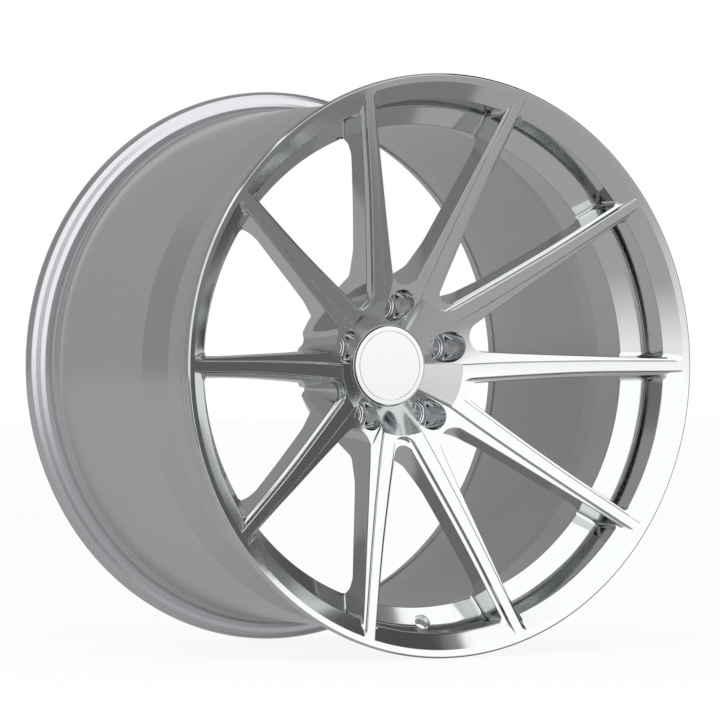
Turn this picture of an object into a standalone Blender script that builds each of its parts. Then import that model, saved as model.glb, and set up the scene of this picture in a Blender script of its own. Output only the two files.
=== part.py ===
import math

import bmesh
import bpy

MM = 0.001

# Rim, in millimetres. The axle lies on Y and the outer face looks towards -Y.
BEAD_R = 254.0
FLANGE_RISE = 17.5
OVERALL_WIDTH = 340.0
FLANGE_SEAT = 15.0
WELL_DROP = 10.8
BARREL_DROP = 2.7
BARREL_WALL = 5.0
JOINT_BACK = 69.3
WELL_RUN = 25.5
RAMP_RUN = 36.1
RAMP_LAG = 16.0
REAR_RAMP_RUN = 9.0
REAR_SEAT_RUN = 23.1
WELL_WALL = 6.8
RIM_STEPS = 60

# Face and hub.
HUB_OFFSET = 18.0
SPOKE_PAIRS = 5
SPOKE_RISE = 0.4
HUB_CREASE_R = 66.0
HUB_PAD_R = 75.0
SPOKE_DEPTH = 25.5
BEVEL_RUN = 15.4
BEVEL_DEPTH = 6.0
SHELF_DEPTH = 37.6
SHELF_LEDGE = 10.0
CORNER_R = 5.0
LUG_CIRCLE_R = 57.15
LUG_POCKET_R = 14.8
LUG_HOLE_R = 8.0
SEAT_R = 12.5
SEAT_DEEP = 15.0
CAP_R = 37.4
CAP_FRONT = 63.0
BORE_R = 36.5
CLIP_BORE_R = 31.5
CLIP_LEG_COUNT = 6

# Valve hole.
VALVE_R = 5.65
VALVE_SPOT_R = 8.0
VALVE_TILT = 57.0

# Clearances.
GAP = 0.3
POCKET_GAP = 0.4

FLANGE_R = BEAD_R + FLANGE_RISE
HALF = OVERALL_WIDTH / 2
LIP_IN_R = FLANGE_R - 7.5
LIP_TOP_R = FLANGE_R - 1.7
WELL_R = BEAD_R - WELL_DROP
BARREL_R = BEAD_R - BARREL_DROP
JOINT_R = WELL_R - WELL_WALL
SHELF_R = JOINT_R - SHELF_LEDGE
JOINT_Y = -HALF + JOINT_BACK
PAD_Y = -HUB_OFFSET
CAP_Y = -CAP_FRONT
POCKET_R = CAP_R + POCKET_GAP
FLOOR_Y = CAP_Y + 11.0
SHOULDER_Y = PAD_Y - 14.0
SEAT_Y = PAD_Y - 12.0


def face_y(r):
    """Front surface of the spokes, a shallow cone that meets the lip."""
    return -HALF + SPOKE_RISE * (LIP_TOP_R - r)


def clear_scene():
    for obj in list(bpy.data.objects):
        bpy.data.objects.remove(obj, do_unlink=True)


def material(name, colour, roughness, metallic):
    made = bpy.data.materials.new(name)
    made.use_nodes = True
    shader = made.node_tree.nodes["Principled BSDF"]
    shader.inputs["Base Color"].default_value = (*colour, 1.0)
    shader.inputs["Roughness"].default_value = roughness
    shader.inputs["Metallic"].default_value = metallic
    return made


def keep(name, mesh, look, origin_y=0.0):
    obj = bpy.data.objects.new(name, mesh)
    bpy.context.scene.collection.objects.link(obj)
    if look:
        mesh.materials.append(look)
    if origin_y:
        for vertex in mesh.vertices:
            vertex.co.y -= origin_y * MM
        obj.location.y = origin_y * MM
    return obj


def closed_mesh(name, bm):
    bmesh.ops.remove_doubles(bm, verts=bm.verts, dist=1e-6)
    bmesh.ops.recalc_face_normals(bm, faces=bm.faces)
    mesh = bpy.data.meshes.new(name)
    bm.to_mesh(mesh)
    bm.free()
    return mesh


def turned(name, profile, steps):
    """A ring swept round the axle from a closed outline of (radius, y)."""
    bm = bmesh.new()
    rings = []
    for i in range(steps):
        angle = 2 * math.pi * i / steps
        c = math.cos(angle) * MM
        s = math.sin(angle) * MM
        rings.append([bm.verts.new((r * c, y * MM, r * s)) for r, y in profile])
    count = len(profile)
    for i in range(steps):
        here = rings[i]
        after = rings[(i + 1) % steps]
        for k in range(count):
            n = (k + 1) % count
            bm.faces.new((here[k], here[n], after[n], after[k]))
    return closed_mesh(name, bm)


def stacked(bm, loops):
    """A closed body through loops that all have the same number of points."""
    rows = [[bm.verts.new(p) for p in loop] for loop in loops]
    count = len(rows[0])
    for low, high in zip(rows, rows[1:]):
        for k in range(count):
            n = (k + 1) % count
            bm.faces.new((low[k], low[n], high[n], high[k]))
    bm.faces.new(rows[0])
    bm.faces.new(rows[-1])


def between(table, x):
    """Straight interpolation in a table of (x, value)."""
    if x <= table[0][0]:
        return table[0][1]
    for (x0, v0), (x1, v1) in zip(table, table[1:]):
        if x <= x1:
            return v0 + (v1 - v0) * (x - x0) / (x1 - x0)
    return table[-1][1]


# Distance from a spoke's centre line to its edges, by share of the way from hub crease to lip.
TOP_PLAIN = ((0.0, 12.8), (0.3, 8.9), (0.56, 6.3), (0.9, 5.5), (1.0, 5.4))
EDGE_PLAIN = ((0.0, 18.4), (0.07, 16.6), (0.3, 13.2), (0.53, 10.8), (0.9, 9.2), (1.0, 9.0))
TOP_LUG = ((0.0, 1.2), (0.15, 2.8), (0.56, 4.6), (0.9, 4.7), (1.0, 4.8))
EDGE_LUG = ((0.0, 15.2), (0.09, 13.3), (0.3, 11.2), (0.54, 9.5), (0.85, 7.4), (1.0, 7.0))

# Each level of a window: depth under the spoke face, edge table, extra draft, corner radius.
PLAIN_LEVELS = (
    (-5.0, TOP_PLAIN, 0.0, 1.0),
    (4.6, TOP_PLAIN, 0.8, 1.0),
    (5.4, EDGE_PLAIN, -0.9, CORNER_R),
    (8.5, EDGE_PLAIN, 0.0, CORNER_R),
    (29.4, EDGE_PLAIN, 1.4, CORNER_R),
    (32.4, EDGE_PLAIN, 1.5, CORNER_R),
    (SHELF_DEPTH, EDGE_PLAIN, 1.8, CORNER_R),
    (52.0, EDGE_PLAIN, 2.4, CORNER_R),
    (104.0, EDGE_PLAIN, 3.6, CORNER_R),
)
LUG_LEVELS = (
    (-5.0, TOP_LUG, 0.0, CORNER_R),
    (2.6, TOP_LUG, 0.5, CORNER_R),
    (3.6, EDGE_LUG, -0.5, CORNER_R),
    (8.5, EDGE_LUG, 0.1, CORNER_R),
    (29.4, EDGE_LUG, 1.4, CORNER_R),
    (32.4, EDGE_LUG, 1.5, CORNER_R),
    (SHELF_DEPTH, EDGE_LUG, 1.8, CORNER_R),
    (52.0, EDGE_LUG, 2.4, CORNER_R),
    (104.0, EDGE_LUG, 3.6, CORNER_R),
)


def window_end(depth):
    """Outer radius of a window at a depth: lip bevel, wall, fillet, then the shelf's cone."""
    bevel = LIP_IN_R - BEVEL_RUN
    stations = (
        (-5.0, LIP_IN_R + 5.0 * BEVEL_RUN / BEVEL_DEPTH),
        (BEVEL_DEPTH, bevel),
        (29.4, bevel - 2.4),
        (32.4, bevel - 6.8),
        (SHELF_DEPTH, SHELF_R),
        (52.0, SHELF_R - 1.4),
        (104.0, SHELF_R - 3.0),
    )
    return between(stations, depth)


def window_loop(depth, table, draft, corner, centre, root, start):
    """One closed loop of a window, from its root along both spoke sides to the lip."""
    half = math.pi / (2 * SPOKE_PAIRS)
    end = window_end(depth)
    span = LIP_IN_R - HUB_CREASE_R
    side = []
    stops = [start + (end - corner - start) * f for f in (0.0, 0.12, 0.45, 1.0)]
    for s in stops + [end - 0.5 * corner, end - 0.15 * corner, end]:
        near = corner - (end - s)
        rounding = corner - math.sqrt(max(0.0, corner**2 - near**2)) if near > 0 else 0.0
        offset = between(table, (s - HUB_CREASE_R) / span) + draft + rounding
        if s == end:
            s = math.sqrt(end * end - offset * offset)
        out = s * math.cos(half) + offset * math.sin(half)
        across = s * math.sin(half) - offset * math.cos(half)
        side.append((out, across))
    first_out, first_across = side[0]
    points = []
    for k in range(1, 6):
        t = math.pi * k / 6
        points.append((first_out - (first_out - root) * math.sin(t), -first_across * math.cos(t)))
    last = math.atan2(side[-1][1], side[-1][0])
    arc = [(end * math.cos(last * f), end * math.sin(last * f)) for f in (0.5, 0.0, -0.5)]
    outline = points + side + arc + [(o, -a) for o, a in reversed(side)]
    made = []
    c = math.cos(centre)
    s = math.sin(centre)
    for out, across in outline:
        y = face_y(math.hypot(out, across)) + depth
        made.append(((out * c - across * s) * MM, y * MM, (out * s + across * c) * MM))
    return made


def window_cutters():
    bm = bmesh.new()
    step = 2 * math.pi / SPOKE_PAIRS
    for i in range(SPOKE_PAIRS):
        lug = math.pi / (2 * SPOKE_PAIRS) + step * i
        loops = []
        for k, (depth, table, draft, corner) in enumerate(LUG_LEVELS):
            root = HUB_CREASE_R - 16.0 if k < 2 else HUB_CREASE_R + 11.5 - draft
            start = HUB_CREASE_R - 10.0 if k < 2 else HUB_CREASE_R + 20.0
            loops.append(window_loop(depth, table, draft, corner, lug, root, start))
        stacked(bm, loops)
        loops = []
        for k, (depth, table, draft, corner) in enumerate(PLAIN_LEVELS):
            root = HUB_CREASE_R - 2.5 - draft if k < 2 else HUB_CREASE_R + 6.0 - draft
            start = HUB_CREASE_R + (5.0 if k < 2 else 14.0)
            loops.append(window_loop(depth, table, draft, corner, lug + step / 2, root, start))
        stacked(bm, loops)
    cutter = keep("window_cutter", closed_mesh("window_cutter", bm), None)
    cutter.hide_render = True
    cutter.display_type = "WIRE"
    return cutter


def round_stack(bm, levels, centre, across, along, steps):
    """A round body of (radius, distance) levels about an axis."""
    side = (
        across[1] * along[2] - across[2] * along[1],
        across[2] * along[0] - across[0] * along[2],
        across[0] * along[1] - across[1] * along[0],
    )
    loops = []
    for radius, distance in levels:
        loop = []
        for k in range(steps):
            t = 2 * math.pi * k / steps
            u = radius * math.cos(t)
            w = radius * math.sin(t)
            spot = [centre[j] + along[j] * distance + across[j] * u + side[j] * w for j in range(3)]
            loop.append(tuple(value * MM for value in spot))
        loops.append(loop)
    stacked(bm, loops)


def lug_place(i):
    angle = math.pi / (2 * SPOKE_PAIRS) + 2 * math.pi * i / SPOKE_PAIRS
    return (LUG_CIRCLE_R * math.cos(angle), 0.0, LUG_CIRCLE_R * math.sin(angle))


def hole_cutters():
    bm = bmesh.new()
    front = -HALF
    deep = SEAT_Y - SEAT_DEEP
    for i in range(SPOKE_PAIRS):
        levels = (
            (LUG_POCKET_R, front),
            (LUG_POCKET_R, deep - 4.0),
            (LUG_POCKET_R - 1.6, deep - 2.0),
            (SEAT_R + GAP, deep - 2.0),
            (SEAT_R + GAP, SEAT_Y + GAP),
            (LUG_HOLE_R, SEAT_Y + GAP),
            (LUG_HOLE_R, PAD_Y + 6.0),
        )
        round_stack(bm, levels, lug_place(i), (1.0, 0.0, 0.0), (0.0, 1.0, 0.0), 18)
    tilt = math.radians(VALVE_TILT)
    away = (0.0, math.sin(tilt), -math.cos(tilt))
    seat = (0.0, JOINT_Y - 20.1, -(JOINT_R + 5.3))
    levels = ((VALVE_SPOT_R, -20.0), (VALVE_SPOT_R, 0.0), (VALVE_R, 0.0), (VALVE_R, 24.0))
    round_stack(bm, levels, seat, (1.0, 0.0, 0.0), away, 20)
    cutter = keep("hole_cutter", closed_mesh("hole_cutter", bm), None)
    cutter.hide_render = True
    cutter.display_type = "WIRE"
    return cutter


def cut(obj, cutter):
    modifier = obj.modifiers.new(cutter.name, "BOOLEAN")
    modifier.operation = "DIFFERENCE"
    modifier.solver = "EXACT"
    modifier.object = cutter


def wheel_centre(look):
    flange = FLANGE_R
    bead_y = -HALF + FLANGE_SEAT
    back = SPOKE_DEPTH
    shelf_y = face_y(SHELF_R) + SHELF_DEPTH
    profile = [
        (LIP_TOP_R, -HALF),
        (flange, -HALF + 1.4),
        (flange, -HALF + 6.0),
        (flange - 2.4, -HALF + 9.4),
        (flange - 7.4, -HALF + 11.6),
        (BEAD_R + 3.4, -HALF + 13.2),
        (BEAD_R, bead_y + 1.6),
        (BEAD_R, bead_y + 23.0),
        (BEAD_R + 1.2, bead_y + 25.2),
        (BEAD_R, bead_y + 27.6),
        (WELL_R, JOINT_Y - 6.3),
        (WELL_R, JOINT_Y),
        (JOINT_R, JOINT_Y),
        (SHELF_R + 3.0, shelf_y + 5.0),
        (SHELF_R, shelf_y + 0.6),
        (SHELF_R - 6.0, face_y(SHELF_R - 6.0) + back + 4.0),
        (SHELF_R - 16.0, face_y(SHELF_R - 16.0) + back),
        (HUB_PAD_R + 45.0, face_y(HUB_PAD_R + 45.0) + back + 3.0),
        (HUB_PAD_R + 21.0, face_y(HUB_PAD_R + 21.0) + back + 11.0),
        (HUB_PAD_R + 8.0, PAD_Y - 15.0),
        (HUB_PAD_R + 3.0, PAD_Y - 3.0),
        (HUB_PAD_R, PAD_Y),
        (BORE_R + 1.2, PAD_Y),
        (BORE_R, PAD_Y - 1.2),
        (BORE_R, SHOULDER_Y),
        (CLIP_BORE_R, SHOULDER_Y),
        (CLIP_BORE_R, FLOOR_Y),
        (POCKET_R, FLOOR_Y),
        (POCKET_R, CAP_Y + 1.6),
        (POCKET_R + 0.8, CAP_Y + 0.6),
        (HUB_CREASE_R, face_y(HUB_CREASE_R)),
    ]
    obj = keep("wheel_centre", turned("wheel_centre", profile, RIM_STEPS), look)
    cut(obj, window_cutters())
    cut(obj, hole_cutters())
    return obj


def rim_barrel(look):
    flange = FLANGE_R
    seat = HALF - FLANGE_SEAT
    start = JOINT_Y + GAP
    inner = BARREL_R - BARREL_WALL
    ramp = JOINT_Y + WELL_RUN
    profile = [
        (JOINT_R, start),
        (WELL_R, start),
        (WELL_R, ramp),
        (BARREL_R, ramp + RAMP_RUN),
        (BARREL_R, seat - 1.6 - REAR_SEAT_RUN - REAR_RAMP_RUN),
        (BEAD_R, seat - 1.6 - REAR_SEAT_RUN),
        (BEAD_R, seat - 1.6),
        (BEAD_R + 3.4, HALF - 13.2),
        (flange - 7.4, HALF - 11.6),
        (flange - 2.4, HALF - 9.4),
        (flange, HALF - 6.0),
        (flange, HALF - 1.4),
        (flange - 1.4, HALF),
        (BEAD_R - 0.5, HALF),
        (BEAD_R - 3.5, HALF - 3.0),
        (BEAD_R - 5.8, HALF - 20.0),
        (inner, seat - 1.6 - REAR_SEAT_RUN - REAR_RAMP_RUN),
        (inner, ramp + RAMP_RUN + RAMP_LAG),
        (JOINT_R, ramp + RAMP_LAG),
    ]
    return keep("rim_barrel", turned("rim_barrel", profile, RIM_STEPS), look)


def lug_seat(i, look):
    bm = bmesh.new()
    angle = math.pi / (2 * SPOKE_PAIRS) + 2 * math.pi * i / SPOKE_PAIRS
    x = LUG_CIRCLE_R * math.cos(angle)
    z = LUG_CIRCLE_R * math.sin(angle)
    profile = (
        (SEAT_R, SEAT_Y - SEAT_DEEP),
        (SEAT_R, SEAT_Y),
        (LUG_HOLE_R - 0.6, SEAT_Y),
        (LUG_HOLE_R - 0.6, SEAT_Y - 9.0),
        (SEAT_R - 1.4, SEAT_Y - SEAT_DEEP + 2.0),
        (SEAT_R - 1.4, SEAT_Y - SEAT_DEEP),
    )
    steps = 16
    rings = []
    for k in range(steps):
        t = 2 * math.pi * k / steps
        c = math.cos(t)
        s = math.sin(t)
        rings.append([bm.verts.new(((x + r * c) * MM, y * MM, (z + r * s) * MM)) for r, y in profile])
    count = len(profile)
    for k in range(steps):
        after = rings[(k + 1) % steps]
        for j in range(count):
            n = (j + 1) % count
            bm.faces.new((rings[k][j], rings[k][n], after[n], after[j]))
    name = f"lug_seat_{i + 1}"
    return keep(name, closed_mesh(name, bm), look)


CAP_BACK = CAP_Y + 7.0
BADGE_R = CAP_R - 4.7
CLIP_R = CLIP_BORE_R - GAP
CLIP_WALL = 1.7
CLIP_END = SHOULDER_Y + 1.0
WIRE_R = 0.9
SEAL_R = 1.5


def cap_bezel(look):
    profile = [
        (0.0, CAP_BACK),
        (0.0, CAP_Y + 2.6),
        (BADGE_R + GAP, CAP_Y + 2.6),
        (BADGE_R + GAP, CAP_Y + 0.3),
        (BADGE_R + 0.8, CAP_Y),
        (CAP_R - 1.4, CAP_Y),
        (CAP_R, CAP_Y + 1.4),
        (CAP_R, CAP_BACK),
    ]
    return solid("cap_bezel", profile, 48, look)


def cap_badge(look):
    profile = [
        (0.0, CAP_Y + 2.6 - GAP),
        (0.0, CAP_Y - 0.2),
        (BADGE_R - 0.5, CAP_Y - 0.1),
        (BADGE_R, CAP_Y + 0.4),
        (BADGE_R, CAP_Y + 2.6 - GAP),
    ]
    return solid("cap_badge", profile, 48, look)


def solid(name, profile, steps, look):
    """A solid turned about the axle, whose outline starts and ends on it."""
    bm = bmesh.new()
    ends = [bm.verts.new((0.0, profile[k][1] * MM, 0.0)) for k in (0, 1)]
    rings = []
    for i in range(steps):
        angle = 2 * math.pi * i / steps
        c = math.cos(angle) * MM
        s = math.sin(angle) * MM
        rings.append([bm.verts.new((r * c, y * MM, r * s)) for r, y in profile[2:]])
    for i in range(steps):
        here = rings[i]
        after = rings[(i + 1) % steps]
        bm.faces.new((ends[1], here[0], after[0]))
        for k in range(len(here) - 1):
            bm.faces.new((here[k], here[k + 1], after[k + 1], after[k]))
        bm.faces.new((ends[0], after[-1], here[-1]))
    return keep(name, closed_mesh(name, bm), look)


def clip_carrier(look):
    base = CAP_BACK + GAP
    inner = CLIP_R - CLIP_WALL
    profile = [
        (inner - 3.0, base),
        (CLIP_R, base),
        (CLIP_R, CLIP_END - 0.6),
        (CLIP_R - 0.6, CLIP_END),
        (inner, CLIP_END),
        (inner, base + 3.0),
        (inner - 3.0, base + 3.0),
    ]
    obj = keep("cap_clip_carrier", turned("cap_clip_carrier", profile, 36), look)
    bm = bmesh.new()
    for i in range(CLIP_LEG_COUNT):
        centre = 2 * math.pi * (i + 0.5) / CLIP_LEG_COUNT
        loops = []
        for y in (base + 4.5, CLIP_END + 2.0):
            loop = []
            for r, side in ((CLIP_R + 3.0, -1), (CLIP_R + 3.0, 1), (inner - 3.0, 1), (inner - 3.0, -1)):
                t = centre + side * math.radians(9.0)
                loop.append((r * math.cos(t) * MM, y * MM, r * math.sin(t) * MM))
            loops.append(loop)
        stacked(bm, loops)
    cutter = keep("clip_cutter", closed_mesh("clip_cutter", bm), None)
    cutter.hide_render = True
    cutter.display_type = "WIRE"
    cut(obj, cutter)
    return obj


def wire_ring(name, ring_r, y, wire, look):
    profile = []
    for k in range(6):
        t = -2 * math.pi * k / 6
        profile.append((ring_r + wire * math.cos(t), y + wire * math.sin(t)))
    return keep(name, turned(name, profile, 32), look)


def build():
    clear_scene()
    face = material("milled_aluminium", (0.83, 0.84, 0.85), 0.16, 1.0)
    silver = material("silver_paint", (0.42, 0.42, 0.43), 0.42, 0.6)
    steel = material("seat_steel", (0.55, 0.56, 0.58), 0.24, 1.0)
    cap = material("cap_silver", (0.86, 0.87, 0.88), 0.22, 1.0)
    badge = material("badge_white", (0.88, 0.88, 0.88), 0.3, 0.2)
    dark = material("clip_black", (0.04, 0.04, 0.045), 0.55, 0.0)
    rubber = material("seal_black", (0.02, 0.02, 0.02), 0.8, 0.0)
    wire = material("spring_steel", (0.6, 0.6, 0.62), 0.3, 1.0)
    wheel_centre(face)
    rim_barrel(silver)
    for i in range(SPOKE_PAIRS):
        lug_seat(i, steel)
    cap_bezel(cap)
    cap_badge(badge)
    clip_carrier(dark)
    wire_ring("cap_spring_ring", CLIP_R - CLIP_WALL - GAP - WIRE_R, SHOULDER_Y - 4.0, WIRE_R, wire)
    wire_ring("cap_seal", POCKET_R - 3.2, (CAP_BACK + FLOOR_Y) / 2, SEAL_R, rubber)


build()
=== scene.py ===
import math

import bmesh
import bpy
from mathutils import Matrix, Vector


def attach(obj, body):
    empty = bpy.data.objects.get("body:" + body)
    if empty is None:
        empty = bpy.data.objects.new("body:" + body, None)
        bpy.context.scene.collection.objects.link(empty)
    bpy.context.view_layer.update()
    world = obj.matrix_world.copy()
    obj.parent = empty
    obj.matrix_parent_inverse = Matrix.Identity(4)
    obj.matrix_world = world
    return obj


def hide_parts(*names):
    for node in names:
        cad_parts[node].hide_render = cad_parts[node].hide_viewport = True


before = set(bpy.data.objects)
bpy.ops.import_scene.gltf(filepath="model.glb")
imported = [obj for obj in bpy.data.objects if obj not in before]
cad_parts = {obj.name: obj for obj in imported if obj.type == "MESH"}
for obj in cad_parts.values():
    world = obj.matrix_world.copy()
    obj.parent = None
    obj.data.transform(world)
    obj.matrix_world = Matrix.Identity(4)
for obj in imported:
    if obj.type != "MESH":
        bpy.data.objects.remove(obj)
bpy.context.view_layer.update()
scene = bpy.context.scene
mm = 0.001
print("stage: frame loaded")

# Sizes shared by several pieces, in millimetres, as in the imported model.
wheel = {
    "half": 170.0, "beadR": 254.0, "flangeR": 271.5, "flangeSeat": 15.0, "lipInR": 264.0, "lipTopR": 269.8,
    "wellR": 243.2, "barrelR": 251.3, "jointR": 236.4, "jointY": -100.7, "gap": 0.3,
    "shelfR": 226.4, "shelfDepth": 37.6, "rise": 0.4, "creaseR": 66.0, "padR": 75.0, "padY": -18.0,
    "capY": -63.0, "capR": 37.4, "pocketR": 37.8, "floorY": -52.0, "shoulderY": -32.0,
    "boreR": 36.5, "clipBoreR": 31.5, "seatY": -30.0, "seatDeep": 15.0, "lugCircle": 57.15, "pairs": 5,
}
# half the angle between two spokes, which is also the first lug hole's heading
halfGap = math.pi / (2 * wheel["pairs"])


def faceY(r):
    # front of the spokes, a shallow cone that meets the lip
    return -wheel["half"] + wheel["rise"] * (wheel["lipTopR"] - r)


def lugPlace():
    return wheel["lugCircle"] * math.cos(halfGap), wheel["lugCircle"] * math.sin(halfGap)


def addObject(name, data):
    obj = bpy.data.objects.new(name, data)
    scene.collection.objects.link(obj)
    return obj


def meshFrom(name, bm):
    bmesh.ops.remove_doubles(bm, verts=bm.verts, dist=2e-6)
    bmesh.ops.recalc_face_normals(bm, faces=bm.faces)
    mesh = bpy.data.meshes.new(name)
    bm.to_mesh(mesh)
    bm.free()
    return mesh


def baked(obj):
    # the evaluated shape becomes the object's own mesh
    graph = bpy.context.evaluated_depsgraph_get()
    mesh = bpy.data.meshes.new_from_object(obj.evaluated_get(graph))
    obj.modifiers.clear()
    obj.data = mesh
    return obj


def smoothed(obj, degrees):
    mesh = obj.data
    mesh.shade_smooth()
    mesh.set_sharp_from_angle(angle=math.radians(degrees))
    weighted = obj.modifiers.new("weighted", "WEIGHTED_NORMAL")
    weighted.keep_sharp = True
    weighted.weight = 60
    return baked(obj)


def rounded(points, steps=5):
    # (r, y, fillet) corners of a closed outline become short arcs
    made = []
    count = len(points)
    for i, (r, y, fillet) in enumerate(points):
        here = Vector((r, y))
        if fillet <= 0:
            made.append((r, y))
            continue
        before = Vector(points[i - 1][:2]) - here
        after = Vector(points[(i + 1) % count][:2]) - here
        turn = before.angle(after)
        reach = min(fillet / math.tan(turn / 2), before.length * 0.48, after.length * 0.48)
        start = here + before.normalized() * reach
        end = here + after.normalized() * reach
        for k in range(steps + 1):
            t = k / steps
            p = start * (1 - t) ** 2 + here * 2 * t * (1 - t) + end * t ** 2
            made.append((p.x, p.y))
    return made


def turned(name, outline, steps, discs=False):
    # a closed outline of (r, y) round the axle; with discs, an open one whose two ends close to discs
    bm = bmesh.new()
    rings = []
    for i in range(steps):
        angle = 2 * math.pi * i / steps
        c, s = math.cos(angle) * mm, math.sin(angle) * mm
        rings.append([bm.verts.new((r * c, y * mm, r * s)) for r, y in outline])
    count = len(outline)
    for i in range(steps):
        here, after = rings[i], rings[(i + 1) % steps]
        for k in range(count - 1 if discs else count):
            n = (k + 1) % count
            bm.faces.new((here[k], here[n], after[n], after[k]))
    if discs:
        bm.faces.new([ring[0] for ring in rings])
        bm.faces.new([ring[-1] for ring in rings])
    return addObject(name, meshFrom(name, bm))


def stacked(bm, loops):
    # a closed body through loops that have the same number of points
    rows = [[bm.verts.new(p) for p in loop] for loop in loops]
    count = len(rows[0])
    for low, high in zip(rows, rows[1:]):
        for k in range(count):
            n = (k + 1) % count
            bm.faces.new((low[k], low[n], high[n], high[k]))
    bm.faces.new(rows[0])
    bm.faces.new(rows[-1])


def roundStack(name, levels, middle, along, steps):
    # a round body of (radius, distance) levels along a line
    bm = bmesh.new()
    along = Vector(along).normalized()
    across = Vector((1.0, 0.0, 0.0))
    side = across.cross(along)
    loops = []
    for radius, distance in levels:
        loop = []
        for k in range(steps):
            t = 2 * math.pi * k / steps
            level = Vector(middle) + along * distance
            p = level + across * radius * math.cos(t) + side * radius * math.sin(t)
            loop.append(p * mm)
        loops.append(loop)
    stacked(bm, loops)
    return addObject(name, meshFrom(name, bm))


def addNodes(nodes, *kinds):
    return [nodes.new(kind) for kind in kinds]


def setInputs(node, values):
    for name, value in values.items():
        node.inputs[name].default_value = value


def ringRepeat(obj, count, material):
    # copies of one piece evenly round the axle
    group = bpy.data.node_groups.new("ringRepeat", "GeometryNodeTree")
    face = group.interface
    face.new_socket("Geometry", in_out="INPUT", socket_type="NodeSocketGeometry")
    copies = face.new_socket("Copies", in_out="INPUT", socket_type="NodeSocketInt")
    copies.default_value = count
    face.new_socket("Material", in_out="INPUT", socket_type="NodeSocketMaterial")
    face.new_socket("Geometry", in_out="OUTPUT", socket_type="NodeSocketGeometry")
    n, link = group.nodes, group.links.new
    gin, gout = addNodes(n, "NodeGroupInput", "NodeGroupOutput")
    points, index = addNodes(n, "GeometryNodePoints", "GeometryNodeInputIndex")
    divide, turn = addNodes(n, "ShaderNodeMath", "ShaderNodeMath")
    divide.operation = "DIVIDE"
    turn.operation = "MULTIPLY"
    turn.inputs[1].default_value = 2 * math.pi
    euler, spin = addNodes(n, "ShaderNodeCombineXYZ", "FunctionNodeEulerToRotation")
    place, real = addNodes(n, "GeometryNodeInstanceOnPoints", "GeometryNodeRealizeInstances")
    finish = n.new("GeometryNodeSetMaterial")
    link(gin.outputs["Copies"], points.inputs["Count"])
    link(index.outputs[0], divide.inputs[0])
    link(gin.outputs["Copies"], divide.inputs[1])
    link(divide.outputs[0], turn.inputs[0])
    link(turn.outputs[0], euler.inputs["Y"])
    link(euler.outputs[0], spin.inputs[0])
    link(points.outputs[0], place.inputs["Points"])
    link(gin.outputs["Geometry"], place.inputs["Instance"])
    link(spin.outputs[0], place.inputs["Rotation"])
    link(place.outputs[0], real.inputs[0])
    link(real.outputs[0], finish.inputs["Geometry"])
    link(gin.outputs["Material"], finish.inputs["Material"])
    link(finish.outputs[0], gout.inputs[0])
    made = obj.modifiers.new("ringRepeat", "NODES")
    made.node_group = group
    for item in face.items_tree:
        if item.name == "Copies":
            made[item.identifier] = count
        if item.name == "Material":
            made[item.identifier] = material
    return baked(obj)


def cutAway(obj, cutter):
    tool = obj.modifiers.new("cut", "BOOLEAN")
    tool.operation = "DIFFERENCE"
    tool.solver = "EXACT"
    tool.object = cutter
    baked(obj)
    bpy.data.objects.remove(cutter, do_unlink=True)


def eased(table, x):
    # smooth curve through a table of (x, value)
    if x <= table[0][0]:
        return table[0][1]
    if x >= table[-1][0]:
        return table[-1][1]
    i = next(k for k in range(len(table) - 1) if x <= table[k + 1][0])
    x0, v0 = table[i]
    x1, v1 = table[i + 1]
    h = x1 - x0
    slope = (v1 - v0) / h
    slope0 = slope1 = slope
    if i > 0:
        slope0 = 0.5 * (slope + (v0 - table[i - 1][1]) / (x0 - table[i - 1][0]))
    if i + 2 < len(table):
        slope1 = 0.5 * (slope + (table[i + 2][1] - v1) / (table[i + 2][0] - x1))
    t = (x - x0) / h
    a = 2 * t ** 3 - 3 * t ** 2 + 1
    b = t ** 3 - 2 * t ** 2 + t
    c = -2 * t ** 3 + 3 * t ** 2
    d = t ** 3 - t ** 2
    return a * v0 + b * h * slope0 + c * v1 + d * h * slope1


def between(table, x):
    # straight lines through a table of (x, value)
    for (x0, v0), (x1, v1) in zip(table, table[1:]):
        if x <= x1:
            return v0 + (v1 - v0) * (x - x0) / (x1 - x0)
    return table[-1][1]


def newMaterial(name):
    made = bpy.data.materials.new(name)
    made.use_nodes = True
    tree = made.node_tree
    return made, tree.nodes, tree.links.new


def alloyMaterial(name, look):
    # metal whose gloss varies with faint turning rings and a soft cloud
    made, n, link = newMaterial(name)
    shader = n["Principled BSDF"]
    setInputs(shader, {"Base Color": (*look["colour"], 1.0), "Metallic": 1.0})
    coords, split = addNodes(n, "ShaderNodeTexCoord", "ShaderNodeSeparateXYZ")
    link(coords.outputs["Object"], split.inputs[0])
    pairUp, radius = addNodes(n, "ShaderNodeCombineXYZ", "ShaderNodeVectorMath")
    radius.operation = "LENGTH"
    link(split.outputs["X"], pairUp.inputs["X"])
    link(split.outputs["Z"], pairUp.inputs["Z"])
    link(pairUp.outputs[0], radius.inputs[0])
    rings, cloud = addNodes(n, "ShaderNodeTexNoise", "ShaderNodeTexNoise")
    rings.noise_dimensions = "1D"
    setInputs(rings, {"Scale": look["ringScale"]})
    setInputs(cloud, {"Scale": 30.0})
    link(radius.outputs["Value"], rings.inputs["W"])
    link(coords.outputs["Object"], cloud.inputs["Vector"])
    both, gloss = addNodes(n, "ShaderNodeMath", "ShaderNodeMapRange")
    link(rings.outputs[0], both.inputs[0])
    link(cloud.outputs[0], both.inputs[1])
    rough, spread = look["roughness"], 0.03
    setInputs(gloss, {"From Max": 2.0, "To Min": rough - spread, "To Max": rough + spread})
    link(both.outputs[0], gloss.inputs["Value"])
    link(gloss.outputs[0], shader.inputs["Roughness"])
    return made


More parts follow.
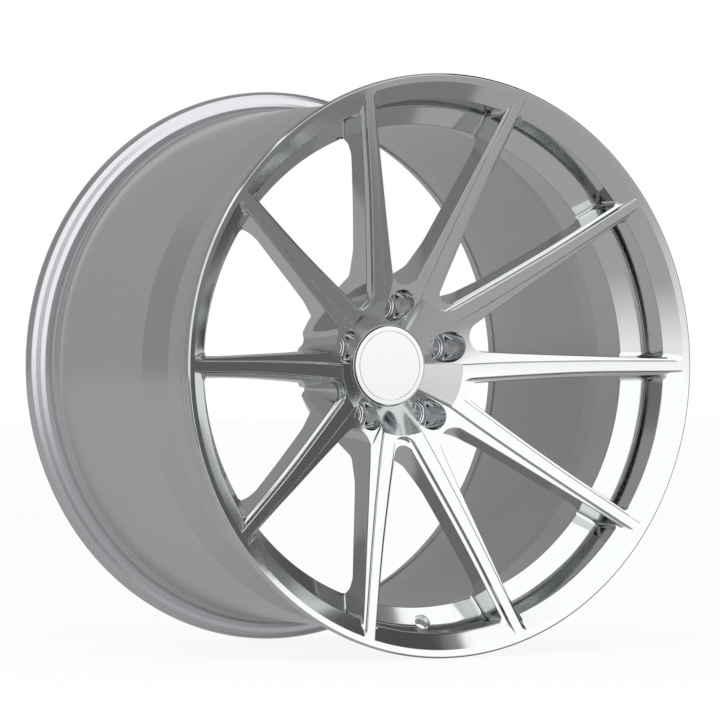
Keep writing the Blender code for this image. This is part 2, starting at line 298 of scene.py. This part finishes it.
def silverPaint(name, look):
    # silver paint with fine metal flake and a faint cloud
    made, n, link = newMaterial(name)
    shader = n["Principled BSDF"]
    setInputs(shader, {"Metallic": look["metallic"]})
    coords, flake, cloud = addNodes(n, "ShaderNodeTexCoord", "ShaderNodeTexNoise", "ShaderNodeTexNoise")
    setInputs(flake, {"Scale": 1400.0, "Detail": 2.0})
    setInputs(cloud, {"Scale": 9.0})
    link(coords.outputs["Object"], flake.inputs["Vector"])
    link(coords.outputs["Object"], cloud.inputs["Vector"])
    mixed, tint, shade = addNodes(n, "ShaderNodeMath", "ShaderNodeMapRange", "ShaderNodeMix")
    mixed.operation = "MULTIPLY_ADD"
    mixed.inputs[1].default_value = 0.25
    link(cloud.outputs[0], mixed.inputs[0])
    link(flake.outputs[0], mixed.inputs[2])
    shade.data_type = "RGBA"
    setInputs(shade, {"A": (*look["dark"], 1.0), "B": (*look["light"], 1.0)})
    setInputs(tint, {"From Min": 0.3, "From Max": 0.95})
    link(mixed.outputs[0], tint.inputs["Value"])
    link(tint.outputs[0], shade.inputs["Factor"])
    link(shade.outputs["Result"], shader.inputs["Base Color"])
    gloss, bump = addNodes(n, "ShaderNodeMapRange", "ShaderNodeBump")
    rough, spread = look["roughness"], 0.04
    setInputs(gloss, {"To Min": rough - spread, "To Max": rough + spread})
    link(flake.outputs[0], gloss.inputs["Value"])
    link(gloss.outputs[0], shader.inputs["Roughness"])
    setInputs(bump, {"Strength": 0.05, "Distance": 0.00005})
    link(flake.outputs[0], bump.inputs["Height"])
    link(bump.outputs[0], shader.inputs["Normal"])
    return made


def plainPolymer(name, look):
    # moulded black with a fine grain
    made, n, link = newMaterial(name)
    shader = n["Principled BSDF"]
    coords, grain, tone = addNodes(n, "ShaderNodeTexCoord", "ShaderNodeTexNoise", "ShaderNodeMix")
    setInputs(grain, {"Scale": look["grain"]})
    link(coords.outputs["Object"], grain.inputs["Vector"])
    tone.data_type = "RGBA"
    setInputs(tone, {"A": (*look["dark"], 1.0), "B": (*look["light"], 1.0)})
    link(grain.outputs[0], tone.inputs["Factor"])
    link(tone.outputs["Result"], shader.inputs["Base Color"])
    setInputs(shader, {"Roughness": look["roughness"]})
    bump = n.new("ShaderNodeBump")
    setInputs(bump, {"Strength": look["bump"], "Distance": 0.0003})
    link(grain.outputs[0], bump.inputs["Height"])
    link(bump.outputs[0], shader.inputs["Normal"])
    return made


polished = alloyMaterial("polishedAlloy", {
    "colour": (0.652, 0.665, 0.670), "roughness": 0.095, "ringScale": 2600.0,
})
# bored alloy for the lug pockets: its boring rings are real, its colour lighter than the polished face is a
# painted highlight against the pockets' shade
boredAlloyPaintedHighlight = alloyMaterial("boredAlloyPaintedHighlight", {
    "colour": (0.70, 0.71, 0.72), "roughness": 0.10, "ringScale": 1200.0,
})
seatSteel = alloyMaterial("seatSteel", {
    "colour": (0.78, 0.79, 0.80), "roughness": 0.11, "ringScale": 1500.0,
})
wireSteel = alloyMaterial("wireSteel", {
    "colour": (0.60, 0.60, 0.62), "roughness": 0.3, "ringScale": 900.0,
})
capMetal = alloyMaterial("capMetal", {
    "colour": (0.668, 0.672, 0.674), "roughness": 0.07, "ringScale": 2600.0,
})
badgeWhite = alloyMaterial("badgeWhite", {
    "colour": (0.675, 0.676, 0.677), "roughness": 0.07, "ringScale": 900.0,
})
paint = silverPaint("satinSilver", {
    "metallic": 0.75, "roughness": 0.22, "dark": (0.48, 0.48, 0.485), "light": (0.55, 0.55, 0.555),
})
# smoother silver paint: its lower roughness is real, its lighter, bluer colour is a painted highlight
smoothPaintHighlight = silverPaint("smoothSilverHighlight", {
    "metallic": 0.85, "roughness": 0.20, "dark": (0.57, 0.575, 0.60), "light": (0.61, 0.615, 0.64),
})
clipBlack = plainPolymer("clipBlack", {
    "dark": (0.03, 0.03, 0.033), "light": (0.05, 0.05, 0.055),
    "grain": 700.0, "roughness": 0.55, "bump": 0.2,
})
sealBlack = plainPolymer("sealBlack", {
    "dark": (0.012, 0.012, 0.012), "light": (0.025, 0.025, 0.025),
    "grain": 500.0, "roughness": 0.75, "bump": 0.2,
})
print("stage: materials made")

# Milled centre: a turned blank less windows, lug holes and the valve hole.
centre = {
    "steps": 360, "cornerR": 5.0, "spokeDepth": 25.5, "clearDepth": -5.0, "draft": (0.1, 0.042, -0.00009),
    # from a spoke's middle line to its edge, by the share of the way from the hub crease to the lip:
    # top at the face and edge below the step, beside a plain window and beside one with a lug hole
    "topPlain": ((0.0, 12.8), (0.3, 8.9), (0.56, 6.3), (0.9, 5.5), (1.0, 5.4)),
    "edgePlain": ((0.0, 18.4), (0.07, 16.6), (0.3, 13.2), (0.53, 10.8), (0.9, 9.2), (1.0, 9.0)),
    "topLug": ((0.0, 0.5), (0.15, 2.1), (0.56, 3.9), (0.9, 4.0), (1.0, 4.1)),
    "edgeLug": ((0.0, 15.2), (0.09, 13.3), (0.3, 11.2), (0.54, 9.5), (0.85, 7.4), (1.0, 7.0)),
    # the step's depth and its fillets, the corner at the lip, and where the window ends past the hub crease
    "plainStep": {"step": 4.6, "ease": 1.1, "root": 2.0, "edge": 1.25, "corner": 1.0, "ends": (-0.3, 8.2)},
    "lugStep": {"step": 2.7, "ease": 0.8, "root": 1.7, "edge": 1.3, "corner": 6.0, "ends": (-16.0, 9.3)},
    # the wall above the step leans out, its floor falls, and levels on the bevel stay apart
    "lean": 0.3, "fall": 0.15, "apart": 0.2, "bevelOffset": 0.05,
    # bevel, wall and shelf: how far inside the lip's edge a window ends, its depth there, the corner's radius
    "endCorners": (
        (-12.83, -5.0, 0.0), (15.4, 6.0, 1.2), (17.95, 33.7, 5.5),
        (37.4, 37.5, 0.8), (39.1, 52.0, 0.0), (40.7, 104.0, 0.0),
    ),
    # steps round a window: half its hub end, a side near the hub and further out, a corner, half the lip's arc
    "endSteps": 12, "nearSteps": 8, "evenFrom": 34.0, "evenSteps": 18, "cornerSteps": 9, "arcSteps": 8,
}
windowEnd = [(depth, inward) for inward, depth in rounded(centre["endCorners"])]
bevelStops = [depth for depth, inward in windowEnd if 5.0 < depth < 8.0]
deepStops = [depth for depth, inward in windowEnd if depth > 8.0]


def roundOver(depth, ease, turns):
    # convex quarter round, as (depth, offset) from a floor into a wall
    angles = [math.radians(turn) for turn in turns]
    return [(depth + ease * (1 - math.cos(t)), ease * (math.sin(t) - 1)) for t in angles]


def levelsFor(top, edge, look):
    # each level: depth under the face, edge table, offset from it, corner radius
    stepDepth, ease, root, topCorner = look["step"], look["ease"], look["root"], look["corner"]
    corner = centre["cornerR"]
    # in from the air, a round edge at the face, a fillet on to the step, the step's round edge, the deep wall
    leadIn = -1.43 * ease
    made = [(centre["clearDepth"], top, leadIn, topCorner), (-0.15 * ease, top, leadIn, topCorner)]
    made += [(d, top, o, topCorner) for d, o in roundOver(0.0, ease, (15, 35, 55, 75, 90))]
    for turn in (0, 20, 40, 60, 80):
        t = math.radians(turn)
        offset = centre["lean"] + root * (1 - math.cos(t))
        made.append((stepDepth - root * (1 - math.sin(t)), top, offset, topCorner))
    ledge = roundOver(stepDepth + centre["fall"], look["edge"], (10, 30, 50, 70, 90))
    made += [(d, edge, o, corner) for d, o in ledge]
    bevel = [depth for depth in bevelStops if depth > made[-1][0] + centre["apart"]]
    made += [(depth, edge, centre["bevelOffset"], corner) for depth in bevel]
    start, slope, bow = centre["draft"]
    return made + [(depth, edge, start + slope * depth + bow * depth ** 2, corner) for depth in deepStops]


def sidePoint(table, offset, along):
    # a point on a window's side: distance out along the window's middle line, and across it
    share = (along - wheel["creaseR"]) / (wheel["lipInR"] - wheel["creaseR"])
    away = eased(centre[table], share) + offset
    c, s = math.cos(halfGap), math.sin(halfGap)
    return along * c + away * s, along * s - away * c


def roundEnd(table, offset, root):
    # where a round end that meets both sides smoothly reaches in to the root radius
    low, high, close, ahead = 20.0, 150.0, 0.001, 0.5
    while high - low > close:
        along = 0.5 * (low + high)
        out, across = sidePoint(table, offset, along)
        outNext, acrossNext = sidePoint(table, offset, along + ahead)
        tilt = math.atan2(acrossNext - across, outNext - out)
        radius = across / math.cos(tilt)
        middle = out + across * math.tan(tilt)
        if middle - radius < root:
            low = along
        else:
            high = along
    spread, steps = math.pi / 2 - tilt, centre["endSteps"]
    turns = [spread * k / steps for k in range(1 - steps, steps)]
    return along, [(middle - radius * math.cos(t), radius * math.sin(t)) for t in turns]


def windowLoop(depth, table, offset, corner, middle, root):
    # one loop of a window: round hub end, one side, arc along the lip, the other side
    end = wheel["lipInR"] - between(windowEnd, depth)
    start, bend = roundEnd(table, offset, root)
    shared, last = wheel["creaseR"] + centre["evenFrom"], end - corner
    near, even = centre["nearSteps"], centre["evenSteps"]
    bends, half = centre["cornerSteps"], centre["arcSteps"]
    stops = [(start + (shared - start) * k / near, 0.0) for k in range(near)]
    stops += [(shared + (last - shared) * k / even, 0.0) for k in range(even + 1)]
    for k in range(1, bends + 1):
        turn = math.pi / 2 * k / bends
        stops.append((end - corner * (1 - math.sin(turn)), corner * (1 - math.cos(turn))))
    side = [sidePoint(table, offset + bow, along) for along, bow in stops]
    out, across = side.pop()
    reach = math.atan2(across, out)
    sweep = [reach * k / half for k in range(half, -half - 1, -1)]
    arc = [(end * math.cos(t), end * math.sin(t)) for t in sweep]
    c, s = math.cos(middle), math.sin(middle)
    loop = []
    for out, across in bend + side + arc + [(o, -a) for o, a in reversed(side)]:
        y = faceY(math.hypot(out, across)) + depth
        loop.append(((out * c - across * s) * mm, y * mm, (out * s + across * c) * mm))
    return loop


def windowPair():
    # the window with a lug hole and the plain one beside it
    bm = bmesh.new()
    for top, edge, look, middle in (
        ("topLug", "edgeLug", centre["lugStep"], halfGap),
        ("topPlain", "edgePlain", centre["plainStep"], halfGap + math.pi / wheel["pairs"]),
    ):
        topRoot, edgeRoot = [wheel["creaseR"] + past for past in look["ends"]]
        loops = []
        for depth, table, offset, corner in levelsFor(top, edge, look):
            root = (topRoot if table == top else edgeRoot) - offset
            loops.append(windowLoop(depth, table, offset, corner, middle, root))
        stacked(bm, loops)
    return addObject("windowPair", meshFrom("windowPair", bm))


lug = {"pocketR": 14.8, "seatR": 12.8, "holeR": 8.0, "mouthR": 8.9, "steps": 64}


def lugBore():
    # pocket, ledge round the pressed seat, bolt hole and its mouth at the hub pad
    x, z = lugPlace()
    pocket, seat, hole, mouth = lug["pocketR"], lug["seatR"], lug["holeR"], lug["mouthR"]
    floor, padY = wheel["seatY"] + wheel["gap"], wheel["padY"]
    deep = wheel["seatY"] - wheel["seatDeep"]
    levels = (
        (pocket, -wheel["half"]), (pocket, deep - 4.2), (pocket - 0.4, deep - 3.4), (seat + 0.5, deep - 2.2),
        (seat, deep - 2.0), (seat, floor), (hole, floor), (hole, padY - 0.8),
        (mouth, padY + 0.1), (mouth, padY + 6.0),
    )
    return roundStack("lugBore", levels, (x, 0.0, z), (0, 1, 0), lug["steps"])


def lugDistance(x, z):
    # how far a point is from the nearest lug hole's middle
    spacing = 2 * math.pi / wheel["pairs"]
    turn = (math.atan2(z, x) - halfGap + spacing / 2) % spacing - spacing / 2
    r = math.hypot(x, z)
    return math.hypot(r * math.cos(turn) - wheel["lugCircle"], r * math.sin(turn))


valve = {
    "tilt": 57.0, "holeR": 5.65, "spotR": 8.0, "backSpotR": 9.0, "inFront": 20.1, "outward": 5.3, "steps": 48,
}


def valveBore():
    # spot face, eased hole and the spot face on the tyre side, placed from the joint with the barrel
    tilt = math.radians(valve["tilt"])
    spot, hole, back = valve["spotR"], valve["holeR"], valve["backSpotR"]
    levels = (
        (spot, -20.0), (spot, -0.4), (spot - 0.4, 0.0), (hole + 0.65, 0.0),
        (hole, 0.65), (hole, 3.4), (back, 3.7), (back, 24.0),
    )
    place = (0.0, wheel["jointY"] - valve["inFront"], -(wheel["jointR"] + valve["outward"]))
    return roundStack("valveBore", levels, place, (0.0, math.sin(tilt), -math.cos(tilt)), valve["steps"])


def backY(r, extra):
    # back of the spokes
    return faceY(r) + centre["spokeDepth"] + extra


def centreOutline():
    w = wheel
    half, flange, bead, well = w["half"], w["flangeR"], w["beadR"], w["wellR"]
    seat = -half + w["flangeSeat"]
    shelf, pad, padY, jointY = w["shelfR"], w["padR"], w["padY"], w["jointY"]
    bore, clipBore, pocket = w["boreR"], w["clipBoreR"], w["pocketR"]
    shelfY = faceY(shelf) + w["shelfDepth"]
    tyreSide = (
        (w["lipTopR"], -half, 0.5), (flange, -half + 1.4, 0.9), (flange, -half + 6.0, 2.0),
        (flange - 2.4, -half + 9.4, 3.0), (flange - 7.4, -half + 11.6, 4.0), (bead + 3.4, -half + 13.2, 2.5),
        (bead, seat + 1.6, 3.0), (bead, seat + 23.0, 1.2), (bead + 1.2, seat + 25.2, 1.5),
        (bead, seat + 27.6, 2.0), (well, jointY - 6.3, 6.0), (well, jointY, 0.0), (w["jointR"], jointY, 0.5),
    )
    spokeBack = (
        (shelf + 3.0, shelfY + 5.0, 3.0), (shelf, shelfY + 0.6, 0.3),
        (shelf - 6.0, backY(shelf - 6.0, 4.0), 6.0), (shelf - 16.0, backY(shelf - 16.0, 0.0), 16.0),
        (pad + 45.0, backY(pad + 45.0, 3.0), 40.0), (pad + 21.0, backY(pad + 21.0, 11.0), 16.0),
        (pad + 8.0, padY - 15.0, 8.0), (pad + 3.0, padY - 3.0, 1.0), (pad, padY, 0.8),
    )
    hub = (
        (bore + 1.2, padY, 0.0), (bore, padY - 1.2, 0.0), (bore, w["shoulderY"], 0.0),
        (clipBore, w["shoulderY"], 0.3), (clipBore, w["floorY"], 0.3), (pocket, w["floorY"], 0.0),
        (pocket, w["capY"] + 1.6, 0.0), (pocket + 0.7, w["capY"] + 0.6, 0.3),
        (w["creaseR"], faceY(w["creaseR"]), 1.6),
    )
    return rounded(tyreSide + spokeBack + hub)


# where the centre's finish changes: behind the lip and outside two radii; in the lug pockets of the hub bowl a
# lighter alloy is a painted highlight against the pockets' shade
finishAndPocketHighlight = {
    "lipBack": 8.0, "tyreR": 240.0, "backR": 84.0, "bowlR": 73.0, "bowlFront": 30.0, "pocketSlack": 0.1,
}


def centreFinishAndPocketHighlight(face):
    # the material slot of a face: 0 polished, 1 painted outside and behind, 2 bored lug pockets, whose lighter
    # alloy is a painted highlight
    x, y, z = face.center / mm
    r = math.hypot(x, z)
    pastLip = y > -wheel["half"] + finishAndPocketHighlight["lipBack"]
    outside = r > finishAndPocketHighlight["tyreR"] and (face.normal.x * x + face.normal.z * z) / r > 0.05
    behind = r > finishAndPocketHighlight["backR"] and face.normal.y > 0.55
    inBowl = r < finishAndPocketHighlight["bowlR"] and y > wheel["capY"] - finishAndPocketHighlight["bowlFront"]
    upright = abs(face.normal.y) < 0.5
    if inBowl and upright and lugDistance(x, z) < lug["pocketR"] + finishAndPocketHighlight["pocketSlack"]:
        return 2
    return 1 if pastLip and (outside or behind) else 0


def makeCentre():
    blank = turned("wheelCentre", centreOutline(), centre["steps"])
    cutAway(blank, ringRepeat(windowPair(), wheel["pairs"], None))
    cutAway(blank, ringRepeat(lugBore(), wheel["pairs"], None))
    cutAway(blank, valveBore())
    blank.data.materials.clear()
    for material in (polished, paint, boredAlloyPaintedHighlight):
        blank.data.materials.append(material)
    # lug pocket walls take the lighter bored alloy, a painted highlight
    for face in blank.data.polygons:
        face.material_index = centreFinishAndPocketHighlight(face)
    return smoothed(blank, 32.0)


wheelCentre = makeCentre()
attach(wheelCentre, "wheel")
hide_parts("wheel_centre")
print("stage: centre", len(wheelCentre.data.polygons))

# Spun barrel with its drop well, rear bead seat and rear flange.
barrel = {
    "steps": 288, "wall": 5.0, "wellRun": 25.5, "rampRun": 36.1, "rampLag": 16.0,
    "smoothHighlightFront": 15.0, "smoothHighlightRear": 28.0,
}


def makeBarrel():
    w = wheel
    half, flange, bead, outer = w["half"], w["flangeR"], w["beadR"], w["barrelR"]
    inner, start = outer - barrel["wall"], w["jointY"] + w["gap"]
    rampY, lag = w["jointY"] + barrel["wellRun"], barrel["rampLag"]
    rampEnd = rampY + barrel["rampRun"]
    outside = (
        (w["jointR"], start, 0.0), (w["wellR"], start, 0.0), (w["wellR"], rampY, 9.0),
        (outer, rampEnd, 9.0), (outer, half - 35.0, 1.5), (outer + 1.3, half - 32.6, 1.0),
        (outer + 1.5, half - 30.0, 1.0), (bead, half - 27.0, 1.5), (bead, half - 18.0, 4.0),
    )
    rearFlange = (
        (bead + 1.8, half - 13.8, 4.0), (bead + 6.2, half - 11.6, 4.0), (flange - 6.4, half - 11.1, 4.0),
        (flange - 1.9, half - 8.9, 4.0), (flange, half - 4.2, 4.0), (flange, half - 1.2, 0.8),
        (flange - 1.4, half, 1.0), (bead - 0.5, half, 1.0), (bead - 3.5, half - 3.0, 2.0),
    )
    inside = (
        (bead - 5.8, half - 16.0, 6.0), (bead - 7.4, half - 19.2, 0.3), (bead - 6.2, half - 20.2, 0.3),
        (inner, half - w["flangeSeat"] - 34.0, 12.0), (inner, rampEnd + lag, 9.0),
        (w["jointR"], rampY + lag, 9.0),
    )
    made = turned("rimBarrel", rounded(outside + rearFlange + inside, 6), barrel["steps"])
    made.data.materials.append(paint)
    made.data.materials.append(smoothPaintHighlight)
    # faces inside the front and outside the rear take the smoother paint, whose lighter colour is a painted
    # highlight
    for face in made.data.polygons:
        inward = face.normal.x * face.center.x + face.normal.z * face.center.z < 0
        y = face.center.y / mm
        smoothHighlight = y < rampY + barrel["smoothHighlightFront"] if inward else y > half - barrel["smoothHighlightRear"]
        face.material_index = 1 if smoothHighlight else 0
    return smoothed(made, 32.0)


rimBarrel = makeBarrel()
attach(rimBarrel, "wheel")
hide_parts("rim_barrel")
print("stage: barrel", len(rimBarrel.data.polygons))

# Pressed conical nut seats.
nutSeat = {"outR": 12.5, "mouthR": 11.1, "mouthDeep": 2.0, "holeR": 7.4, "holeDeep": 9.0, "steps": 72}


def makeSeats():
    x, z = lugPlace()
    y, top = wheel["seatY"], wheel["seatY"] - wheel["seatDeep"]
    out, mouth, hole = nutSeat["outR"], nutSeat["mouthR"], nutSeat["holeR"]
    corners = (
        (out, top, 0.5), (out, y, 0.5), (hole, y, 0.5), (hole, y - nutSeat["holeDeep"], 0.8),
        (mouth, top + nutSeat["mouthDeep"], 0.5), (mouth, top, 0.4),
    )
    seat = turned("lugSeats", rounded(corners, 4), nutSeat["steps"])
    for vertex in seat.data.vertices:
        vertex.co.x += x * mm
        vertex.co.z += z * mm
    return smoothed(ringRepeat(seat, wheel["pairs"], seatSteel), 35.0)


lugSeats = makeSeats()
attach(lugSeats, "wheel")
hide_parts(*[f"lug_seat_{i}" for i in range(1, 6)])
print("stage: seats")

# Snap-in cap: bezel with a fine ring line, bare inlay, clip legs, spring wire and seal.
cap = {
    "steps": 144, "badgeR": 32.7, "badgeDeep": 2.3, "coreR": 4.0, "back": -56.0,
    "clipR": 31.2, "clipWall": 1.7, "clipFoot": 3.0, "clipBevel": 0.6, "clipEnd": -31.0,
    "legs": 6, "slotFrom": 4.5, "slotPast": 2.0, "slotHalf": 9.0, "slotClear": 3.0,
    "sealIn": 3.2, "sealY": -54.0, "sealWire": 1.5, "springR": 28.3, "springY": -36.0, "springWire": 0.9,
    "ringSteps": 120, "wireSteps": 16,
}


def turnedSolid(name, corners, material):
    # the outline starts and ends near the axle, and both ends close to discs
    obj = turned(name, rounded(corners, 4), cap["steps"], discs=True)
    obj.data.materials.append(material)
    return smoothed(obj, 35.0)


def makeBezel():
    y, r, core = wheel["capY"], wheel["capR"], cap["coreR"]
    hollowR, hollowY = cap["badgeR"] + wheel["gap"], y + cap["badgeDeep"] + wheel["gap"]
    corners = (
        (core, hollowY, 0.0), (hollowR, hollowY, 0.0), (hollowR, y, 0.15),
        (r, y, 0.5), (r, cap["back"], 0.4), (core, cap["back"], 0.0),
    )
    return turnedSolid("capBezel", corners, capMetal)


def makeBadge():
    y, r, core = wheel["capY"], cap["badgeR"], cap["coreR"]
    back = y + cap["badgeDeep"]
    corners = ((core, y, 0.0), (r, y, 0.15), (r, back, 0.2), (core, back, 0.0))
    return turnedSolid("capBadge", corners, badgeWhite)


def makeCarrier():
    base, end = cap["back"] + wheel["gap"], cap["clipEnd"]
    inner, outer = cap["clipR"] - cap["clipWall"], cap["clipR"]
    foot, bevel = cap["clipFoot"], cap["clipBevel"]
    corners = (
        (inner - foot, base, 0.3), (outer, base, 0.3), (outer, end - bevel, 0.3), (outer - bevel, end, 0.3),
        (inner, end, 0.3), (inner, base + foot, 0.5), (inner - foot, base + foot, 0.3),
    )
    carrier = turned("capCarrier", rounded(corners, 3), cap["steps"])
    # one slot between two legs, past the ring's sides and its end
    bm = bmesh.new()
    wide, narrow = outer + cap["slotClear"], inner - cap["slotClear"]
    loops = []
    for y in (base + cap["slotFrom"], end + cap["slotPast"]):
        loop = []
        for r, side in ((wide, -1), (wide, 1), (narrow, 1), (narrow, -1)):
            t = math.pi / cap["legs"] + side * math.radians(cap["slotHalf"])
            loop.append((r * math.cos(t) * mm, y * mm, r * math.sin(t) * mm))
        loops.append(loop)
    stacked(bm, loops)
    gap = addObject("clipGap", meshFrom("clipGap", bm))
    cutAway(carrier, ringRepeat(gap, cap["legs"], None))
    carrier.data.materials.clear()
    carrier.data.materials.append(clipBlack)
    return smoothed(carrier, 35.0)


def makeRing(name, ringR, y, wire, material):
    turns = [-2 * math.pi * k / cap["wireSteps"] for k in range(cap["wireSteps"])]
    outline = [(ringR + wire * math.cos(t), y + wire * math.sin(t)) for t in turns]
    obj = turned(name, outline, cap["ringSteps"])
    obj.data.materials.append(material)
    return smoothed(obj, 60.0)


capBezel = makeBezel()
capBadge = makeBadge()
capCarrier = makeCarrier()
capSeal = makeRing("capSeal", wheel["pocketR"] - cap["sealIn"], cap["sealY"], cap["sealWire"], sealBlack)
springRing = makeRing("springRing", cap["springR"], cap["springY"], cap["springWire"], wireSteel)
for piece, node, slot in (
    (capBezel, "cap_bezel", "cap_silver"), (capBadge, "cap_badge", "badge_white"),
    (capCarrier, "cap_clip_carrier", "clip_black"), (capSeal, "cap_seal", "seal_black"),
):
    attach(piece, "cap")
    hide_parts(node)
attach(springRing, "spring_ring")
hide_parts("cap_spring_ring")
print("stage: cap")

# Studio: pale floor, white surround, soft lamps and grey cards that only reflections see.
studio = {
    "floorZ": -0.2717, "floorSize": 14.0, "floorTone": 0.93, "floorGlow": 0.9,
    "worldLight": 0.75, "frontLight": 1.48, "cardR": 4.0, "cardSteps": (24, 8),
    # name, headings in degrees from the front towards the right, heights, tone at the foot and at the top
    "cards": (
        ("lowFrontCard", (-60.0, 48.0), (-89.0, -20.0), 0.47, 0.50),
        ("apronCard", (-46.0, 48.0), (-20.0, 2.0), 0.50, 1.45),
        ("lowLeftCard", (-60.0, -46.0), (-20.0, -3.0), 0.34, 0.34),
        ("lowRightCard", (48.0, 96.0), (-89.0, -3.0), 0.27, 0.27),
        ("lowSideCard", (96.0, 140.0), (-89.0, -3.0), 0.34, 0.30),
        ("lowRearCard", (140.0, 300.0), (-89.0, -3.0), 0.45, 0.45),
        ("nearRightCard", (48.0, 60.0), (-3.0, 14.0), 0.12, 0.14),
        ("rightCard", (60.0, 92.0), (-3.0, 60.0), 0.15, 0.09),
        ("upperRightCard", (53.0, 60.0), (30.0, 60.0), 0.26, 0.26),
        ("sideCard", (92.0, 140.0), (-3.0, 60.0), 0.22, 0.20),
        ("rearCard", (140.0, 220.0), (-3.0, 60.0), 0.36, 0.33),
        ("rearLeftCard", (220.0, 245.0), (-3.0, 60.0), 0.20, 0.20),
        ("leftCard", (245.0, 300.0), (-3.0, 60.0), 0.31, 0.24),
        ("edgeCard", (300.0, 314.0), (-3.0, 45.0), 1.05, 0.90),
        ("upperLeftCard", (300.0, 328.0), (45.0, 60.0), 0.24, 0.24),
        ("topLeftCard", (75.0, 360.0), (60.0, 89.0), 0.24, 0.24),
        ("topRightCard", (0.0, 75.0), (60.0, 89.0), 0.50, 0.40),
    ),
    # name, place, width and height, power
    "lamps": (
        ("keyLamp", (-0.9, -2.2, 2.4), (2.0, 1.4), 38.0),
        ("fillLamp", (-2.6, 0.6, 1.4), (1.6, 1.6), 16.0),
    ),
    # fitted to the photo
    "cameraPlace": (-2.1084, -3.6875, 0.0054), "cameraAim": (0.49695, 0.86777, 0.0),
    "lens": 220.95, "sensor": 36.0, "farClip": 60.0,
}


def makeFloor():
    bm = bmesh.new()
    bmesh.ops.create_grid(bm, x_segments=8, y_segments=8, size=studio["floorSize"])
    floor = addObject("studioFloor", meshFrom("studioFloor", bm))
    floor.location.z = studio["floorZ"]
    made, n, link = newMaterial("paleFloor")
    shader, tone = n["Principled BSDF"], studio["floorTone"]
    setInputs(shader, {"Base Color": (tone, tone, tone, 1.0), "Roughness": 0.9})
    light, glow = addNodes(n, "ShaderNodeLightPath", "ShaderNodeEmission")
    mix, part = addNodes(n, "ShaderNodeMixShader", "ShaderNodeMath")
    part.operation = "MULTIPLY"
    part.inputs[1].default_value = studio["floorGlow"]
    link(light.outputs["Is Camera Ray"], part.inputs[0])
    link(part.outputs[0], mix.inputs["Fac"])
    link(shader.outputs[0], mix.inputs[1])
    link(glow.outputs[0], mix.inputs[2])
    link(mix.outputs[0], n["Material Output"].inputs["Surface"])
    made.cycles.emission_sampling = "NONE"  # it glows for the camera only, so it isn't sampled as a lamp
    floor.data.materials.append(made)
    floor.visible_glossy = False


def makeWorld():
    world = bpy.data.worlds.new("studioWorld")
    scene.world = world
    world.use_nodes = True
    n, link = world.node_tree.nodes, world.node_tree.links.new
    back, light = n["Background"], n.new("ShaderNodeLightPath")
    setInputs(back, {"Color": (1.0, 1.0, 1.0, 1.0)})
    seen, level, front = addNodes(n, "ShaderNodeMath", "ShaderNodeMapRange", "ShaderNodeMapRange")
    seen.operation = "MAXIMUM"
    link(light.outputs["Is Camera Ray"], seen.inputs[0])
    link(light.outputs["Is Transmission Ray"], seen.inputs[1])
    setInputs(level, {"To Min": studio["worldLight"], "To Max": 1.0})
    link(seen.outputs[0], level.inputs["Value"])
    setInputs(front, {"To Max": studio["frontLight"]})
    link(light.outputs["Is Glossy Ray"], front.inputs["Value"])
    link(level.outputs[0], front.inputs["To Min"])
    link(front.outputs[0], back.inputs["Strength"])


def cardMesh(name, turn, lift):
    # part of a sphere round the wheel, between two headings and two heights
    bm = bmesh.new()
    radius = studio["cardR"]
    across, up = studio["cardSteps"]
    rows = []
    for j in range(up + 1):
        height = math.radians(lift[0] + (lift[1] - lift[0]) * j / up)
        flat, z = radius * math.cos(height), radius * math.sin(height)
        row = []
        for i in range(across + 1):
            heading = math.radians(turn[0] + (turn[1] - turn[0]) * i / across)
            row.append(bm.verts.new((flat * math.sin(heading), -flat * math.cos(heading), z)))
        rows.append(row)
    for low, high in zip(rows, rows[1:]):
        for k in range(across):
            bm.faces.new((low[k], low[k + 1], high[k + 1], high[k]))
    return meshFrom(name, bm)


def makeCard(name, turn, lift, foot, top):
    card = addObject(name, cardMesh(name, turn, lift))
    made, n, link = newMaterial(name)
    coords, split = addNodes(n, "ShaderNodeTexCoord", "ShaderNodeSeparateXYZ")
    rise, glow = addNodes(n, "ShaderNodeMapRange", "ShaderNodeEmission")
    low, high = [studio["cardR"] * math.sin(math.radians(height)) for height in lift]
    setInputs(rise, {"From Min": low, "From Max": high, "To Min": foot, "To Max": top})
    link(coords.outputs["Object"], split.inputs[0])
    link(split.outputs["Z"], rise.inputs["Value"])
    link(rise.outputs[0], glow.inputs["Strength"])
    link(glow.outputs[0], n["Material Output"].inputs["Surface"])
    made.cycles.emission_sampling = "NONE"  # reflections find it by themselves
    card.data.materials.append(made)
    card.visible_camera = card.visible_diffuse = card.visible_shadow = card.visible_transmission = False


def makeLamp(name, place, size, power):
    # aimed at the middle of the wheel
    data = bpy.data.lights.new(name, "AREA")
    data.shape = "RECTANGLE"
    data.size, data.size_y = size
    data.energy = power
    lamp = addObject(name, data)
    lamp.location = place
    lamp.rotation_euler = (-Vector(place)).to_track_quat("-Z", "Y").to_euler()
    lamp.visible_camera = lamp.visible_glossy = False


def makeCamera():
    data = bpy.data.cameras.new("photoCamera")
    data.lens = studio["lens"]
    data.sensor_width = studio["sensor"]
    data.clip_end = studio["farClip"]
    camera = addObject("photoCamera", data)
    camera.location = studio["cameraPlace"]
    camera.rotation_euler = Vector(studio["cameraAim"]).to_track_quat("-Z", "Y").to_euler()
    scene.camera = camera


makeFloor()
makeWorld()
for card in studio["cards"]:
    makeCard(*card)
for lamp in studio["lamps"]:
    makeLamp(*lamp)
makeCamera()
scene.view_settings.view_transform = "Standard"
print("stage: studio")
